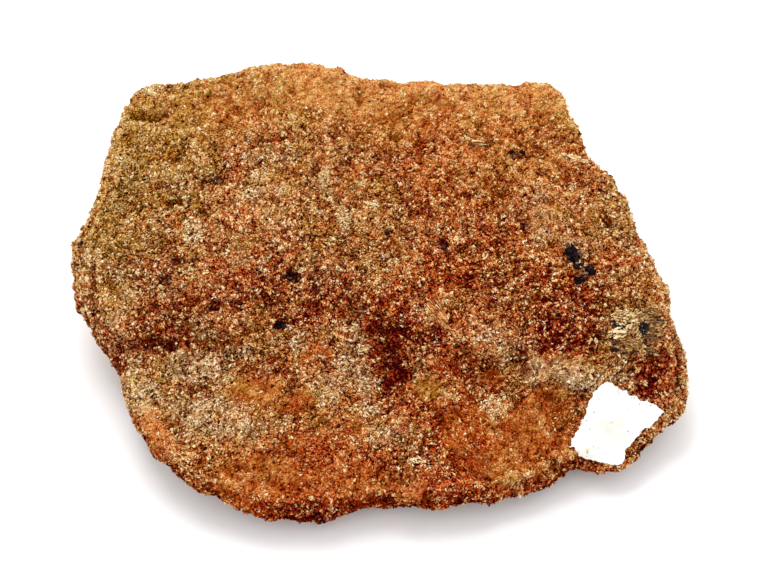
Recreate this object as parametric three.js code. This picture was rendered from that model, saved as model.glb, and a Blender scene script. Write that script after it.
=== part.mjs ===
// A hand specimen of weathered bronzite rock with muscovite, and the blank label painted on its corner.
// Millimetres, +Z up. The rock rests on a flat broken face at Z = 0, +X is to the right of its
// labelled side and +Y is to the back. The origin is under the middle of its bounding box.

import * as THREE from "three";
import { ImprovedNoise } from "three/addons/math/ImprovedNoise.js";
import { mergeVertices } from "three/addons/utils/BufferGeometryUtils.js";

// Corners of the rock's top edge, going round from the left by the front.
// Each one has its plan place, its height, and how far the side swells out below it.
const CORNERS = {
  left_shoulder: { x: -56, y: 15.5, edge: 27, swell: 0.5 },
  left_lobe: { x: -56.5, y: 8, edge: 26, swell: 5.5 },
  left_lobe_end: { x: -55, y: -1, edge: 24, swell: 4.5 },
  left_hip: { x: -52.5, y: -10, edge: 21, swell: 1.5 },
  left_notch: { x: -49.5, y: -17.5, edge: 18, swell: 1 },
  left_terrace: { x: -47, y: -23, edge: 15.5, swell: 2 },
  left_front: { x: -42.3, y: -32, edge: 14, swell: 1.5 },
  front_left: { x: -33, y: -41, edge: 12, swell: 1 },
  front_lobe_left: { x: -25.5, y: -43.6, edge: 11, swell: 1 },
  front_lobe: { x: -12, y: -44.6, edge: 10.5, swell: 0.5 },
  front_bay: { x: -3.5, y: -41.4, edge: 10.5, swell: 0.5 },
  front: { x: 7, y: -42.8, edge: 10, swell: 0.5 },
  front_right: { x: 24.5, y: -39.3, edge: 10, swell: 1 },
  label_bay: { x: 36.8, y: -33.4, edge: 9.5, swell: 0.3 },
  label_tip: { x: 45.5, y: -35.4, edge: 6.5, swell: 0 },
  label_side: { x: 52, y: -27.3, edge: 10, swell: 1.5 },
  right_lobe: { x: 56.8, y: -19, edge: 15, swell: 3.5 },
  right_notch: { x: 55, y: -11.5, edge: 20, swell: 3 },
  right_side: { x: 52.8, y: -4, edge: 24, swell: 1.5 },
  right_upper: { x: 47.5, y: 8.5, edge: 28, swell: 1 },
  right_bay: { x: 40.5, y: 20.5, edge: 32, swell: 1.5 },
  back_right: { x: 36, y: 32.5, edge: 35, swell: 2.5 },
  back_corner: { x: 33, y: 36.6, edge: 36, swell: 5 },
  saddle: { x: 4, y: 35.3, edge: 36.5, swell: 8 },
  peak: { x: -18.5, y: 37.8, edge: 41, swell: 7 },
  left_peak: { x: -34, y: 39, edge: 35, swell: 6 },
  back_left: { x: -48.5, y: 40, edge: 32.5, swell: 3 },
  left_back: { x: -53.6, y: 27, edge: 31, swell: 1.5 },
};

// Where the foot of the rock lies: the swell's height as a share of the edge's, and the tuck under it
const SWELL_HEIGHT_SHARE = 0.5;
const FOOT_PLAN_SHARE = 0.84;

// The top is a main face that falls to the front, then a lower terrace beyond a step called the brow
const TOP_CENTRE = { x: -1, y: -3 };
const MAIN_FACE = { height: 27.5, slope: 0.3 };
const TERRACE = { height: 21, slope: 0.16 };
const BROW = [
  { x: -60, y: -24 },
  { x: -34, y: -18 },
  { x: -14, y: -12 },
  { x: 2, y: -15 },
  { x: 24, y: -20 },
  { x: 42, y: -19 },
  { x: 60, y: -12 },
];
const BROW_HALF_WIDTH = 6;
const EDGE_BLEND_FROM = 0.35;

// Broad swells (+) and hollows (-) on the top
const MOUNDS = {
  left_boss: { x: -26, y: 8, radius: 17, rise: 2.2 },
  peak_spur: { x: -16, y: 26, radius: 13, rise: 1.6 },
  right_boss: { x: 33, y: 2, radius: 16, rise: 1.8 },
  saddle_dip: { x: 6, y: 25, radius: 12, rise: -1.6 },
  brow_hollow: { x: 2, y: -20, radius: 10, rise: -2 },
  terrace_swell: { x: -24, y: -31, radius: 14, rise: 1.2 },
  terrace_dip: { x: 18, y: -32, radius: 12, rise: -1 },
};

// Fracture roughness: two sizes of lump on the broken surface, which fade out close to the base
const LUMPS = [
  { wavelength: 23, height: 1.2 },
  { wavelength: 9, height: 0.6 },
];
const LUMP_SEED = { x: 11, y: 23, z: 37 };
const LUMP_FADE_HEIGHT = 6;

// Flat breaks across the walls and the underside: the bearing that each one faces (0 is +X, 90 is +Y),
// how far it leans up from level, and how deep it cuts. They leave the walls just clear of the base.
const BREAKS = [
  { bearing: 92, lean: -6, depth: 4 },
  { bearing: 58, lean: 4, depth: 3 },
  { bearing: 128, lean: -14, depth: 4 },
  { bearing: 176, lean: -32, depth: 3 },
  { bearing: 8, lean: -26, depth: 3 },
  { bearing: 222, lean: -55, depth: 1.5 },
  { bearing: 285, lean: -60, depth: 1.5 },
  { bearing: 330, lean: -55, depth: 1.5 },
];
const LEAST_WALL_HEIGHT = 0.3;

// The label is a thin coat of white paint between four plan corners, a hair above the rock
const LABEL_CORNERS = {
  top: { x: 41.5, y: -20.4 },
  left: { x: 34.6, y: -31.4 },
  tip: { x: 45.4, y: -34.9 },
  right: { x: 52.4, y: -25.2 },
};
const LABEL_THICKNESS = 0.4;
const LABEL_GAP = 0.5;
const LABEL_STEPS = 14;

// How finely the surfaces are divided
const COLUMNS_PER_CORNER = 4;
const TOP_ROWS = 16;
const WALL_ROWS = 5;
const TUCK_ROWS = 4;
const BASE_ROWS = 1;
const MERGE_DISTANCE = 1e-4;

const rockMaterial = new THREE.MeshStandardMaterial({ color: 0xa8622e, roughness: 0.85, metalness: 0 });
const labelMaterial = new THREE.MeshStandardMaterial({ color: 0xf4f2ec, roughness: 0.7, metalness: 0 });

const smoothstep = THREE.MathUtils.smoothstep;
const lerp = THREE.MathUtils.lerp;
const noise = new ImprovedNoise();

// Closed curves through the corners: the top edge, the swell below it, and the foot
const corners = Object.values(CORNERS);
const edgeCurve = closedCurve(corners.map((corner) => new THREE.Vector3(corner.x, corner.y, corner.edge)));
const swellCurve = closedCurve(corners.map(swellPoint));
const footCurve = closedCurve(corners.map(footPoint));
const planes = breakPlanes();
const browCurve = new THREE.SplineCurve(BROW.map((point) => new THREE.Vector2(point.x, point.y)));

function closedCurve(points) {
  return new THREE.CatmullRomCurve3(points, true, "centripetal");
}

function swellPoint(corner) {
  const outward = new THREE.Vector2(corner.x - TOP_CENTRE.x, corner.y - TOP_CENTRE.y);
  outward.setLength(corner.swell);
  return new THREE.Vector3(corner.x + outward.x, corner.y + outward.y, corner.edge * SWELL_HEIGHT_SHARE);
}

function footPoint(corner) {
  const swell = swellPoint(corner);
  const x = lerp(TOP_CENTRE.x, swell.x, FOOT_PLAN_SHARE);
  const y = lerp(TOP_CENTRE.y, swell.y, FOOT_PLAN_SHARE);
  return new THREE.Vector3(x, y, 0);
}

// The brow's place along Y at a given X, read from its curve
function browAt(x) {
  const span = (x - BROW[0].x) / (BROW[BROW.length - 1].x - BROW[0].x);
  return browCurve.getPointAt(THREE.MathUtils.clamp(span, 0, 1)).y;
}

// Height of the rock's top face at a plan place, before its edges and its lumps
function topHeight(x, y) {
  const main = MAIN_FACE.height + MAIN_FACE.slope * y;
  const terrace = TERRACE.height + TERRACE.slope * y;
  const aboveBrow = smoothstep(y - browAt(x), -BROW_HALF_WIDTH, BROW_HALF_WIDTH);
  let height = lerp(terrace, main, aboveBrow);
  for (const mound of Object.values(MOUNDS)) {
    const reach = Math.hypot(x - mound.x, y - mound.y) / mound.radius;
    height += mound.rise * (1 - smoothstep(reach, 0, 1));
  }
  return height;
}

// A point of the top, from its centre (share 0) to the edge (share 1)
function topPoint(turn, share) {
  const edge = edgeCurve.getPoint(turn);
  const x = lerp(TOP_CENTRE.x, edge.x, share);
  const y = lerp(TOP_CENTRE.y, edge.y, share);
  const edgeMisfit = edge.z - topHeight(edge.x, edge.y);
  return new THREE.Vector3(x, y, topHeight(x, y) + edgeMisfit * smoothstep(share, EDGE_BLEND_FROM, 1));
}

// A point of the side wall, from the top edge (share 0) to the swell (share 1), which bulges between them
function wallPoint(turn, share) {
  const edge = edgeCurve.getPoint(turn);
  const swell = swellCurve.getPoint(turn);
  const outward = Math.sin((share * Math.PI) / 2);
  return new THREE.Vector3(
    lerp(edge.x, swell.x, outward),
    lerp(edge.y, swell.y, outward),
    lerp(edge.z, swell.z, share),
  );
}

// A point of the tucked underside, from the swell (share 0) round to the foot (share 1)
function tuckPoint(turn, share) {
  const swell = swellCurve.getPoint(turn);
  const foot = footCurve.getPoint(turn);
  const inward = 1 - Math.cos((share * Math.PI) / 2);
  return new THREE.Vector3(
    lerp(swell.x, foot.x, inward),
    lerp(swell.y, foot.y, inward),
    lerp(swell.z, 0, Math.sin((share * Math.PI) / 2)),
  );
}

// A point of the flat face that the rock rests on, from the foot (share 0) to the middle (share 1)
function basePoint(turn, share) {
  const foot = footCurve.getPoint(turn);
  return new THREE.Vector3(lerp(foot.x, TOP_CENTRE.x, share), lerp(foot.y, TOP_CENTRE.y, share), 0);
}

// The plane of each break, set in from the outermost point of the rock on that bearing
function breakPlanes() {
  const outline = [...edgeCurve.getPoints(corners.length), ...swellCurve.getPoints(corners.length)];
  return BREAKS.map(({ bearing, lean, depth }) => {
    const [turn, tilt] = [bearing, lean].map(THREE.MathUtils.degToRad);
    const level = Math.cos(tilt);
    const facing = new THREE.Vector3(level * Math.cos(turn), level * Math.sin(turn), Math.sin(tilt));
    const reach = Math.max(...outline.map((point) => point.dot(facing)));
    return new THREE.Plane(facing, depth - reach);
  });
}

// Pulls a point that stands outside a break back onto it
function addBreaks(point) {
  for (const plane of planes) {
    const outside = plane.distanceToPoint(point);
    if (outside > 0) point.addScaledVector(plane.normal, -outside);
  }
  point.z = Math.max(point.z, LEAST_WALL_HEIGHT);
  return point;
}

// Moves a surface point by the fracture lumps, fading out towards the flat base
function addLumps(point) {
  const fade = smoothstep(point.z, 0, LUMP_FADE_HEIGHT);
  const shift = new THREE.Vector3();
  LUMPS.forEach(({ wavelength, height }, layer) => {
    const at = point.clone().divideScalar(wavelength);
    shift.x += height * noise.noise(at.x + layer, at.y, at.z + LUMP_SEED.x);
    shift.y += height * noise.noise(at.x, at.y + LUMP_SEED.y + layer, at.z);
    shift.z += height * noise.noise(at.x + LUMP_SEED.z, at.y, at.z + layer);
  });
  return point.addScaledVector(shift, fade);
}

// One row of the rock's surface, counted from the middle of the top to the middle of the base
function rockPoint(turn, row) {
  if (row <= TOP_ROWS) return addLumps(topPoint(turn, row / TOP_ROWS));
  row -= TOP_ROWS;
  if (row <= WALL_ROWS) return addLumps(addBreaks(wallPoint(turn, row / WALL_ROWS)));
  row -= WALL_ROWS;
  if (row < TUCK_ROWS) return addLumps(addBreaks(tuckPoint(turn, row / TUCK_ROWS)));
  row -= TUCK_ROWS;
  return basePoint(turn, row / BASE_ROWS);
}

// A sphere's grid of rows and columns, reshaped into the rock
function rockGeometry() {
  const rows = TOP_ROWS + WALL_ROWS + TUCK_ROWS + BASE_ROWS;
  const geometry = new THREE.SphereGeometry(1, corners.length * COLUMNS_PER_CORNER, rows);
  const { position, uv } = geometry.attributes;
  for (let i = 0; i < position.count; i++) {
    const turn = THREE.MathUtils.euclideanModulo(uv.getX(i), 1);
    const point = rockPoint(turn, Math.round((1 - uv.getY(i)) * rows));
    position.setXYZ(i, point.x, point.y, point.z);
  }
  return closedMesh(geometry);
}

// Only positions are kept, so that shared vertices merge into one closed surface
function closedMesh(geometry) {
  geometry.deleteAttribute("normal");
  geometry.deleteAttribute("uv");
  const merged = mergeVertices(geometry, MERGE_DISTANCE);
  merged.computeVertexNormals();
  return merged;
}

// A thin plate spread between the label's corners and draped on the rock from above
function labelGeometry(rock) {
  const { top, left, tip, right } = LABEL_CORNERS;
  const geometry = new THREE.BoxGeometry(1, 1, LABEL_THICKNESS, LABEL_STEPS, LABEL_STEPS, 1);
  const { position } = geometry.attributes;
  const caster = new THREE.Raycaster();
  const down = new THREE.Vector3(0, 0, -1);
  const aboveRock = 2 * CORNERS.peak.edge;
  for (let i = 0; i < position.count; i++) {
    const across = position.getX(i) + 0.5;
    const along = position.getY(i) + 0.5;
    const x = lerp(lerp(left.x, tip.x, across), lerp(top.x, right.x, across), along);
    const y = lerp(lerp(left.y, tip.y, across), lerp(top.y, right.y, across), along);
    caster.set(new THREE.Vector3(x, y, aboveRock), down);
    const ground = caster.intersectObject(rock)[0].point.z;
    position.setXYZ(i, x, y, ground + LABEL_GAP + LABEL_THICKNESS / 2 + position.getZ(i));
  }
  return closedMesh(geometry);
}

const rock = new THREE.Mesh(rockGeometry(), rockMaterial);
rock.name = "rock";

const label = new THREE.Mesh(labelGeometry(rock), labelMaterial);
label.name = "label";

// Both pieces move together so that the origin is under the middle of the specimen
const specimen = new THREE.Group();
specimen.add(rock, label);
const middle = new THREE.Box3().setFromObject(specimen).getCenter(new THREE.Vector3());
rock.position.set(-middle.x, -middle.y, 0);
label.position.copy(rock.position);

export default specimen;
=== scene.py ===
"""Looks of a weathered bronzite rock with muscovite: its body, grains and crystals, and its blank label."""

import math
from collections import namedtuple

import bpy
import numpy as np
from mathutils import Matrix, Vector, noise
from mathutils.kdtree import KDTree


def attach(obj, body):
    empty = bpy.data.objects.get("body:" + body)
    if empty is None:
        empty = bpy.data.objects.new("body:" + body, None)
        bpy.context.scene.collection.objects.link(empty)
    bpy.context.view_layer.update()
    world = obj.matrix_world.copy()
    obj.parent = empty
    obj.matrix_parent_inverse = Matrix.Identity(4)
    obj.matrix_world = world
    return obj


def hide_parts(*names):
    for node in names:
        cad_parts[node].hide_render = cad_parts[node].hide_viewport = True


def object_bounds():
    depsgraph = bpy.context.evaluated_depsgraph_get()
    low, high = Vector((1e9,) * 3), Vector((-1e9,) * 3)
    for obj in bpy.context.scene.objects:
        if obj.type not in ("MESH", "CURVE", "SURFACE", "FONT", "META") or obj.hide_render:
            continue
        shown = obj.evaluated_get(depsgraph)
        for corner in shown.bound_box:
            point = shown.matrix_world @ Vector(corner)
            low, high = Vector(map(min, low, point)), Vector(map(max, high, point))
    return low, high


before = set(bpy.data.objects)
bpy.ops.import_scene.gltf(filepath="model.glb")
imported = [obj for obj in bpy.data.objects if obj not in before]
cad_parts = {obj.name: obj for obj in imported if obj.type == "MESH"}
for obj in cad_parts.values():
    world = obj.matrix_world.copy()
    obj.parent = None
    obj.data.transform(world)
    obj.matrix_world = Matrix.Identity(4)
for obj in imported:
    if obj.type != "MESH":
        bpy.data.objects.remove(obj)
cad_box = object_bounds()

MM = 0.001
BODY = "root"
ROCK_SLOT = "rock_surface"
LABEL_SLOT = "label_paint"
BAKE_MAP = "OFBake"
MAP_CELL = [(0.15, 0.15), (0.85, 0.15), (0.15, 0.85)]

# Where each kind of random draw starts
SEEDS = {
    "drift": 3,
    "pits": 41,
    "grains": 42,
    "flakes": 43,
    "blades": 45,
    "crystals": 46,
    "dark crystals": 47,
    "fan": 48,
    "specks": 49,
    "granules": 50,
}

# The view: how far above level the camera looks from, its distance, its lens and the point it looks at
VIEW_ELEVATION = math.radians(52)
VIEW_DISTANCE = 373 * MM
LENS_MM = 90
NEAREST_SEEN = 10 * MM
AIM = Vector((1.4, 1.6, 18)) * MM

# The stage, in metres: a pale floor just below the rock, white light all round, and a soft lamp behind it
FLOOR_SIDE = 4
FLOOR_LEVEL = -0.2 * MM
FLOOR_COLOUR = (0.92, 0.92, 0.92, 1)
SKY_COLOUR = (1, 1, 1, 1)
SKY_STRENGTH = 1.18
LAMP_POWER = 2.3
LAMP_SIDE = 0.35
LAMP_PLACE = Vector((-0.12, 0.26, 0.65))
LAMP_AIM = Vector((0, 0, 0.02))

# The rock body: how near two corners are to be one, the size of its mesh, how its facets are softened,
# how its map is cut, and the relief that is raised on it
MERGE_WITHIN = 0.001 * MM
BODY_VOXEL = 0.6 * MM
BODY_SMOOTHING = {"factor": 0.5, "rounds": 10}
MAP_ANGLE = math.radians(60)
MAP_MARGIN = 0.004
RELIEF = {
    "slabs": {"size": 12 * MM, "height": 3.0 * MM},
    "lumps": {"size": 4.5 * MM, "height": 1.6 * MM},
    "broken back": {"size": 9 * MM, "height": 6.0 * MM},
}

# The broken back: how fast its relief sets in as the rock turns away, and the height, in mm, where it ends
BACK_GAIN = 1.6
BACK_START = 0.3
BACK_TOP = 29
BACK_FADE = 8

# Crystals that the rock is made of: how many, how far each one bulges, the share of the bulge that stays
# below the surface, and how far one stands above another
CRYSTALS = 15_000
CRYSTAL_BULGE = 0.5 * MM
CRYSTAL_SUNK = 0.6
CRYSTAL_STEP = 0.14 * MM

# Granules that the crystals are broken into: how many, how far they are stretched along the crystal,
# how far each one bulges, and the share of the bulge that stays below the surface
GRANULES = 60_000
GRANULE_STRETCH = 0.5
GRANULE_BULGE = 0.32 * MM
GRANULE_SUNK = 0.5

# How fast a crystal or a granule rises from its border
CELL_RISE = 1.8

# Ledges: the plan points that a step runs through, in mm, how far the ground in front of it drops, and how
# far that reaches; the drop takes the edge's width
LEDGES = [
    {"through": [(22, -16.5), (28, -14.4), (34, -13), (44, -12.8), (50, -13)], "drop": 0.8, "reach": 9},
    {"through": [(-46, -12.5), (-40, -12), (-34, -11.5), (-27, -11)], "drop": 1.0, "reach": 9},
    {"through": [(1, -9.5), (8, -11), (14, -14)], "drop": 1.0, "reach": 9},
]
LEDGE_EDGE = 2

# Hollows and pits pressed into the top: plan centre, radius and depth in mm
HOLLOWS = [
    (3, -16, 6, 0.7), (3, -20, 4, 0.5), (-31, 17.3, 2.4, 1.1), (-39.6, 13.9, 2.4, 0.8),
    (-16, -2.7, 1.9, 1.2), (28.1, 22.2, 1.7, 0.8), (12.7, 3.4, 1.3, 0.8), (16.3, 1.8, 1.3, 0.8),
    (2.2, 4.6, 1.2, 0.9), (44.3, 8.6, 1.3, 0.8), (-30.6, -7.6, 1.3, 0.8), (-39, -14.6, 1.1, 0.8),
    (-17.9, -10.4, 1.6, 1.0), (-4.6, -11, 1.5, 0.7), (32.5, -11.5, 1.4, 0.9),
]
SMALL_PITS = {"count": 160, "radius": (0.7, 1.5), "depth": (0.3, 0.8)}

# Crevices: the plan points that each one runs through, in mm, its half width and its depth; it opens at its
# lips, which are so many half widths from its middle
CREVICES = [
    {"through": [(-48.5, 34.5), (-45.2, 33.6), (-42, 34)], "half_width": 0.8, "depth": 1.4},
    {"through": [(-55, 7.3), (-54.4, 2.3), (-54.7, -1.9)], "half_width": 0.6, "depth": 1.0},
    {"through": [(56.7, -11), (57.8, -15.3), (57.2, -20)], "half_width": 0.7, "depth": 1.2},
    {"through": [(-6.5, -23), (-4.5, -25.2)], "half_width": 0.4, "depth": 0.7},
    {"through": [(1, 36.4), (3.6, 36.5)], "half_width": 0.5, "depth": 0.9},
    {"through": [(18.6, 24.3), (21.6, 24.5)], "half_width": 0.4, "depth": 0.7},
]
CREVICE_LIPS = 1.6

# What is pressed in wanders by so many mm, over a size, and fades out where the top turns to wall
PRESS_WANDER = 0.8
PRESS_WANDER_SIZE = 3 * MM
PRESS_GAIN = 3

# Patches of the weathered surface, by kind: plan centre and radii in mm, and how strongly the kind shows. The
# dark kind is painted shade, in the pits, hollows and crevices, under the ledges and along the front edge
PATCHES = {
    "dark": [
        (-31, 17.3, 1.9, 2.5, 0.8), (-39.6, 13.9, 2.7, 0.9, 0.6), (-16, -2.7, 2.1, 1.1, 1),
        (28.1, 22.2, 1.8, 1.1, 0.9), (12.7, 3.4, 0.8, 1.5, 0.8), (16.3, 1.8, 1, 1.4, 0.8),
        (2.2, 4.6, 1.2, 1.2, 0.8), (44.3, 8.6, 1.6, 0.8, 0.7), (45.3, 13.8, 1, 0.8, 0.7),
        (34.5, 26, 1.8, 1.1, 0.6), (-41.3, -12.4, 5.4, 3.0, 0.85), (-39.5, -9.1, 5.5, 3.2, 0.75),
        (-30.6, -7.6, 1.4, 1.1, 0.8), (-39, -14.6, 1.2, 0.8, 0.8), (-17.9, -10.4, 1.8, 1.1, 1),
        (-13.5, -10.2, 3.1, 0.9, 0.7), (-4.6, -11, 1.8, 0.7, 0.8), (1.2, -9.8, 3.4, 3.4, 0.6),
        (2.6, -17.5, 2.9, 5.4, 0.5), (10.2, -14, 3.5, 2, 0.8), (4.8, -11.6, 2.7, 1.5, 0.7),
        (10.2, -25.8, 2.3, 1.4, 0.7), (13.2, -27.8, 1.6, 1.3, 0.6), (33.2, -13.9, 7.4, 1.4, 0.9),
        (32.5, -11.5, 1.8, 0.7, 0.9), (50.8, -16.8, 2.7, 1.8, 0.7), (26.2, -15.7, 1.6, 1.5, 0.7),
        (49.8, -28.6, 3.1, 1.4, 0.7), (16.8, -1.9, 3.7, 4.6, 0.5), (18.6, -2.9, 9, 6.5, 0.42),
        (34.7, -7.3, 9, 5.5, 0.6), (36, -12.3, 8.5, 2.6, 1), (-43.3, -0.1, 5.8, 4, 0.5),
        (-14.5, -6, 12.5, 3.6, 0.5), (14.5, -40.7, 7.8, 0.9, 0.7), (11, -35, 9, 6, 0.35),
        (34.3, -33.7, 4.7, 0.8, 0.7), (-14.1, -43.8, 11.7, 0.9, 0.8), (-32.5, -37.6, 3.9, 1, 0.6),
        (-43.4, -11.4, 1.6, 1.7, 0.5), (-49.1, 0.2, 3.1, 4, 0.5), (54, -19, 3, 5, 0.3),
    ],
    "red": [
        (-16.2, 30.2, 1.4, 1.3, 0.7), (-25.9, 18.6, 3.1, 2.2, 0.7), (-27.5, 8.3, 3.1, 1.8, 0.7),
        (-31.5, -0.2, 2.7, 1.3, 0.8), (20.6, 8.1, 2.7, 1.8, 0.7), (15.4, -1.3, 2.7, 1.8, 1),
        (41.3, 16, 1, 0.9, 1), (-14.5, -5.5, 9.7, 2.3, 0.5), (2.5, -7.3, 4.7, 2.4, 0.6),
        (2.9, -18, 3.9, 5.2, 0.8), (10.2, -14, 4.3, 2.5, 0.8), (33.2, -13.9, 7.8, 1.9, 0.8),
        (50.8, -16.8, 3.1, 2.3, 0.9), (-41.3, -12.4, 5.4, 3.3, 0.6), (13.2, -27.8, 2.7, 2.3, 0.7),
        (-11.2, -42.5, 11.7, 1.5, 0.8), (14.5, -40.3, 11.7, 1.3, 0.6), (-14.2, -26, 2.7, 1.5, 0.5),
        (-8.8, -7, 5.8, 1.5, 0.5), (34.7, -7.3, 7, 3.1, 0.4), (-40.4, -28.5, 3.1, 2.8, 0.6),
        (42.7, 2.7, 5.8, 4.1, 0.3), (-24, -4.3, 10, 5, 0.6), (-12.6, -7, 10, 4, 0.7), (4.4, -9, 9, 5, 0.8),
        (13, -2, 6, 6, 0.8), (15.6, -15.6, 6, 6, 0.7), (5.5, -22, 5, 8, 0.8), (15.6, -31, 5, 8, 0.8),
        (14.5, -40, 8, 4, 0.9), (-20.6, -42.2, 8, 2.5, 0.9), (-8.5, -42.7, 8, 2.5, 0.8),
        (31, -6, 9, 6, 0.6), (38, -12, 8, 4, 0.8), (54, -17, 4, 6, 0.9), (21.7, 7, 7, 7, 0.5),
        (11.4, 23, 4, 10, 0.4), (12.2, 10, 5, 8, 0.4), (12, -24, 6, 9, 0.8), (4, -13, 10, 6, 0.7),
        (-8, -36, 14, 5, 0.4), (14, -36, 7, 6, 0.9),
    ],
    "pale": [
        (-24, 13, 1.8, 1.6, 0.9), (-19, 13.3, 1.9, 1.4, 0.8), (-10, 15.5, 1.2, 1.8, 0.8),
        (-9.2, 12, 1.2, 1.6, 0.7), (-6.4, 8.3, 1.6, 1.9, 0.9), (-0.5, 10.3, 1.4, 0.8, 1),
        (-35.5, 6.5, 1.8, 3.2, 1), (-21.6, 21.6, 4.3, 2.1, 0.6), (-16.8, 19.6, 1.8, 1.7, 0.7),
        (-20.7, 7.7, 1.2, 1, 0.6), (-44, 40.5, 2.7, 1.3, 0.6), (38.1, 22.1, 2.7, 0.8, 0.9),
        (29.3, 12.6, 3.3, 2, 0.7), (31.7, 4, 2.1, 1.4, 0.6), (37.3, 3.9, 1.8, 1.2, 0.8),
        (28.8, 7, 1.2, 0.8, 0.9), (27.3, 32.9, 2.7, 2, 0.4), (-34.8, -17.3, 6.6, 2.6, 0.9),
        (-42.5, -22.8, 2.3, 4.2, 0.9), (-32.9, -27.7, 8.6, 5.2, 0.75), (-35.7, -31.8, 2.3, 1.6, 0.9),
        (-25.2, -30.7, 5.1, 3, 0.6), (-26.3, -15, 3.9, 0.9, 0.9), (-27.6, -18.6, 1.8, 1.7, 0.8),
        (-15.4, -14.2, 1.9, 2.8, 0.6), (-3.9, -13.8, 1.8, 2.4, 0.95), (-5.7, -18, 2.3, 3, 1),
        (-2, -20.4, 1.9, 2.9, 0.9), (-9.6, -22.4, 3.5, 3.2, 0.6), (-1.2, -26.3, 2.3, 1.3, 0.8),
        (-0.1, -31.1, 1.8, 2, 0.8), (21.3, -24.1, 2.7, 2.3, 1), (33.8, -18.7, 5.4, 1.6, 1),
        (30, -18.2, 3, 1.2, 1), (39, -19.4, 4, 1.6, 0.9), (46.3, -18.1, 2.5, 0.8, 0.9),
        (23.1, -14.3, 3.9, 2.5, 0.5), (3.3, -30.1, 2.7, 1.2, 0.7), (8.2, -38.2, 4.3, 2.2, 0.3),
        (26.8, -37.1, 2.3, 0.9, 0.7), (32, -28, 1.6, 1, 0.6), (-4.6, -11, 1.9, 0.9, 0.7),
        (-48.9, -4.8, 2.7, 2.4, 0.4), (-55.3, 3.3, 1.6, 3.6, 0.3), (-19.7, -30.7, 3.9, 1.8, 0.4),
    ],
    "olive": [
        (-44.8, 27.4, 11.7, 14.3, 1), (-49.9, 11.4, 7.8, 11.7, 0.75), (-35.3, 36.4, 11.7, 5.2, 0.8),
        (-36.4, 19.9, 7.8, 8.7, 0.7), (-50.8, -3.7, 5.1, 6.1, 0.6), (-25, 24, 16, 9, 0.35),
        (-14.8, 13.6, 14, 8, 0.2), (-3, 12, 10, 6, 0.2), (36, 33, 8, 6, 0.4), (45, 9, 6, 8, 0.4),
        (-42, -22, 9, 9, 0.3), (-28, -25, 12, 8, 0.2), (48.5, -11, 6, 5, 0.8), (0, 34, 46, 9, 0.3),
        (10.2, -21.7, 3, 2.4, 1.6), (-22.9, -23, 4.7, 3.2, 0.4),
    ],
    "grey": [
        (-43, 0, 8, 7, 0.3), (-29.7, -4.7, 9, 6, 0.25), (-14.5, -1.9, 9, 6, 0.2), (-46.6, -13, 5, 5, 0.3),
        (-36, -26, 14, 11, 0.15), (48.5, -11, 6, 4.5, 0.5),
    ],
    "orange": [
        (-19, 34, 16, 7, 0.6), (4.6, 32, 20, 8, 0.7), (24, 32, 14, 7, 0.6), (32, 24, 10, 8, 0.4),
        (17.5, -29, 7, 6, 0.7), (30.6, -28, 8, 6, 0.8), (24, -34, 8, 5, 0.7), (-21, -39.4, 10, 4, 0.8),
        (0.7, -40.3, 12, 3, 0.6), (-42, -29.5, 5, 4, 0.6), (20, 20, 14, 10, 0.3),
        (-22.9, -23, 4.7, 3.2, 0.6), (-14, -34, 12, 4, 0.4),
    ],
    # The broad gold patch along the top, at (0, 35), is partly painted light that makes the top lighter; the
    # rest is the rock's own colour
    "gold": [
        (-3.3, 31.8, 6.6, 1.9, 0.7), (-11.4, 26.7, 3.9, 1.4, 0.5), (-6.2, 25.5, 5.8, 2.9, 0.4),
        (18.4, 31.9, 9.7, 4.9, 0.3), (-15.1, 36.5, 9.7, 3.8, 0.25), (31.2, 31.8, 5.1, 3.1, 0.4),
        (-9, 15.7, 11.7, 3.6, 0.25), (36.1, 8.9, 7.8, 5, 0.3), (-24.9, 27.8, 9.7, 5.5, 0.25),
        (0, 35, 46, 8, 0.9), (28, 28, 16, 8, 0.4), (34, -17.6, 8, 1.8, 0.7),
    ],
    "crust": [
        (-22.9, -23, 4.7, 3.2, 0.9), (-10.5, -15.3, 2.5, 1.3, 0.7), (-15.2, -24.9, 3.5, 2.1, 0.7),
        (-3.8, -29.7, 3.5, 1.6, 0.7), (10.2, -21.7, 2.5, 2.1, 0.9), (22.1, -19.5, 2.3, 1.5, 0.8),
        (32.1, -23, 5.1, 2.9, 0.9), (26.9, -28.5, 5.1, 3.3, 0.8), (18.9, -33.2, 5.1, 3.7, 0.8),
        (-7.2, 34.1, 11.7, 4.6, 0.5), (20.1, 21.3, 1.8, 2.3, 0.9), (-10.4, -37.2, 13.6, 4.2, 0.4),
        (-40.3, -29.5, 2.7, 2.3, 0.7), (-14.1, -33.9, 11.7, 3.5, 0.4), (12.8, -17.8, 3.1, 1.8, 0.4),
        (10.3, 20, 1.6, 1.9, 0.5),
    ],
}
TINTS = ["red", "olive", "pale", "orange"]

# Patches fade out before their end, in radii, over a width, and do not reach under the rock. Their borders
# wander by so many mm with a slow and a quick drift. The fields drift with a slow, a quick and a broad one
PATCH_END = 1.35
PATCH_FADE = 0.7
PATCH_LOWEST_FACING = -0.5
DRIFT_SIZES = (3.5 * MM, 1.1 * MM, 7 * MM)
PATCH_WANDER = (1.3, 0.6)
FIELD_DRIFT = {"hue": (0.6, 0.6, 0.5), "grey": (0.5, 0.4, 0.3), "tone": (0.05, 0.09, 0.05)}

# Tone, from 0 for the darkest to 1 for the palest: its middle, and what patches, high and low ground, and
# the rim below the front edge add to it. High ground is painted lighter and low ground darker, as painted
# light and shade, and the rim below the front edge is darkened as painted shade. Ground is high or low
# against the same surface evened out in rounds
TONE_MIDDLE = 0.725
# The dark patches darken the tone as painted shade
PATCH_TONE = {"dark": -0.21, "red": -0.04, "olive": 0.03, "pale": 0.14, "gold": 0.12, "even": -0.15}
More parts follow.
